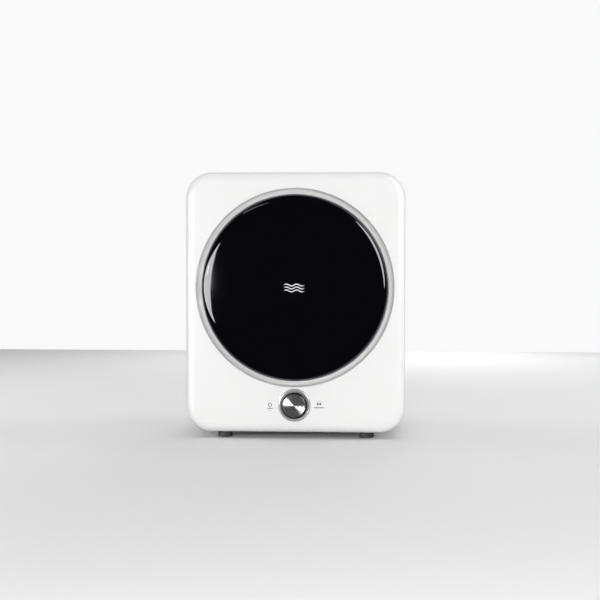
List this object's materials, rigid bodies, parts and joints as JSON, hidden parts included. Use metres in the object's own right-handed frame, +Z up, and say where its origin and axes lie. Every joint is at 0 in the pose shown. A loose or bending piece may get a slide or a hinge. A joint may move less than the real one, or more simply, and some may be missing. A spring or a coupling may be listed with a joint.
{
  "type": "clothes dryer",
  "caption": "Compact vented clothes dryer: white rounded case, big round black glossy door in a hollow ring, one timer dial, steel drum, belt drive and rear exhaust spigot.",
  "frame": {"origin": "on the floor under the middle of the whole object", "axes": "+Z up, the door faces -Y, +X to the right of someone facing the door"},
  "size_m": [0.493, 0.41, 0.598],
  "materials": {
    "white_moulding": "fine satin moulding",
    "white_enamel": "baked enamel",
    "grey_moulding": "fine matte moulding",
    "black_gloss": "polished",
    "smoked_bowl": "smooth",
    "chrome_trim": "polished",
    "spun_metal": "spun",
    "dial_black": "smooth",
    "drum_steel": "satin",
    "zinc_steel": "galvanised",
    "bright_steel": "machined",
    "cast_alloy": "cast",
    "foot_rubber": "matte",
    "belt_rubber": "matte",
    "gasket_rubber": "soft matte",
    "felt": "pressed wool",
    "filter_mesh": "fine mesh",
    "motor_paint": "enamel",
    "switch_plastic": "moulded",
    "heater_ceramic": "finned",
    "wire_jacket": "smooth",
    "magnet_grey": "dull"
  },
  "bodies": {
    "case": {"front_panel": "white_moulding", "cabinet_wrap": "white_enamel", "rear_cover": "white_moulding", "rubber_feet": "foot_rubber", "base_rails": "zinc_steel", "case_screws": "bright_steel", "foot_bolts": "bright_steel", "hinge_brackets": "bright_steel", "catch_plate": "bright_steel", "mouth_ring": "grey_moulding", "front_felt_seal": "felt", "door_switch": "switch_plastic", "dial_bezel": "chrome_trim", "timer_body": "zinc_steel", "rear_bulkhead": "zinc_steel", "bearing_spider": "cast_alloy", "bearing_outer_race": "bright_steel", "rear_felt_seal": "felt", "motor_body": "motor_paint", "motor_bracket": "zinc_steel", "idler_spring": "bright_steel", "drum_belt": "belt_rubber", "fan_belt": "belt_rubber", "fan_housing": "grey_moulding", "exhaust_spigot": "grey_moulding", "heater_duct": "grey_moulding", "heater_element": "heater_ceramic", "thermal_cutouts": "switch_plastic", "cable_gland": "switch_plastic", "terminal_block": "white_moulding", "motor_capacitor": "cast_alloy", "wiring_harness": "wire_jacket"},
    "door": {"door_cover": "black_gloss", "door_frame": "grey_moulding", "door_bowl": "smoked_bowl", "door_gasket": "gasket_rubber", "door_magnet": "magnet_grey", "door_hinge_leaves": "bright_steel", "hinge_pins": "chrome_trim", "door_screws": "bright_steel"},
    "dial": {"dial_body": "dial_black", "dial_cap": "spun_metal", "timer_shaft": "bright_steel"},
    "drum": {"drum_shell": "drum_steel", "drum_rear": "drum_steel", "drum_baffles": "drum_steel", "drum_spider": "cast_alloy", "drum_shaft": "bright_steel", "bearing_inner_race": "bright_steel"},
    "lint_filter": {"filter_cover": "white_moulding", "lint_mesh": "filter_mesh"},
    "motor_rotor": {"motor_shaft": "bright_steel", "drum_pulley": "cast_alloy", "fan_drive_pulley": "switch_plastic"},
    "fan": {"fan_wheel": "grey_moulding", "fan_pulley": "switch_plastic"},
    "tension_arm": {"idler_arm": "zinc_steel"},
    "tension_pulley": {"idler_pulley": "grey_moulding"},
    "plunger": {"switch_plunger": "white_moulding"}
  },
  "joints": [
    {"name": "door_swing", "type": "hinge", "parent": "case", "child": "door", "pos_m": [-0.196, -0.182, 0.3395], "axis": [0, 0, -1], "range_deg": [0, 100]},
    {"name": "dial_turn", "type": "hinge", "parent": "case", "child": "dial", "pos_m": [0, -0.183, 0.0765], "axis": [0, 1, 0], "range_deg": [0, 330]},
    {"name": "drum_spin", "type": "hinge", "parent": "case", "child": "drum", "pos_m": [0, 0.106, 0.3395], "axis": [0, 1, 0], "continuous": true},
    {"name": "motor_spin", "type": "hinge", "parent": "case", "child": "motor_rotor", "pos_m": [0.15, 0.05, 0.078], "axis": [0, 1, 0], "continuous": true},
    {"name": "fan_spin", "type": "hinge", "parent": "case", "child": "fan", "pos_m": [0, 0.1475, 0.3395], "axis": [0, 1, 0], "continuous": true},
    {"name": "tension_swing", "type": "hinge", "parent": "case", "child": "tension_arm", "pos_m": [0.104, -0.002, 0.102], "axis": [0, 1, 0], "range_deg": [0, 5], "stiffness_Nm_per_rad": 0.8, "springref_deg": -17.19},
    {"name": "tension_spin", "type": "hinge", "parent": "tension_arm", "child": "tension_pulley", "pos_m": [0.06642, -0.012, 0.10574], "axis": [0, 1, 0], "continuous": true},
    {"name": "filter_pull", "type": "slide", "parent": "drum", "child": "lint_filter", "axis": [0, -1, 0], "range_m": [0, 0.12]},
    {"name": "plunger_press", "type": "slide", "parent": "case", "child": "plunger", "axis": [0, 1, 0], "range_m": [0, 0.0025], "stiffness_N_per_m": 300, "springref_m": -0.002}
  ],
  "couplings": [
    {"joint": "motor_spin", "follows": "drum_spin", "ratio": 26.75},
    {"joint": "fan_spin", "follows": "drum_spin", "ratio": 32.1},
    {"joint": "tension_spin", "follows": "drum_spin", "ratio": 13.375}
  ]
}
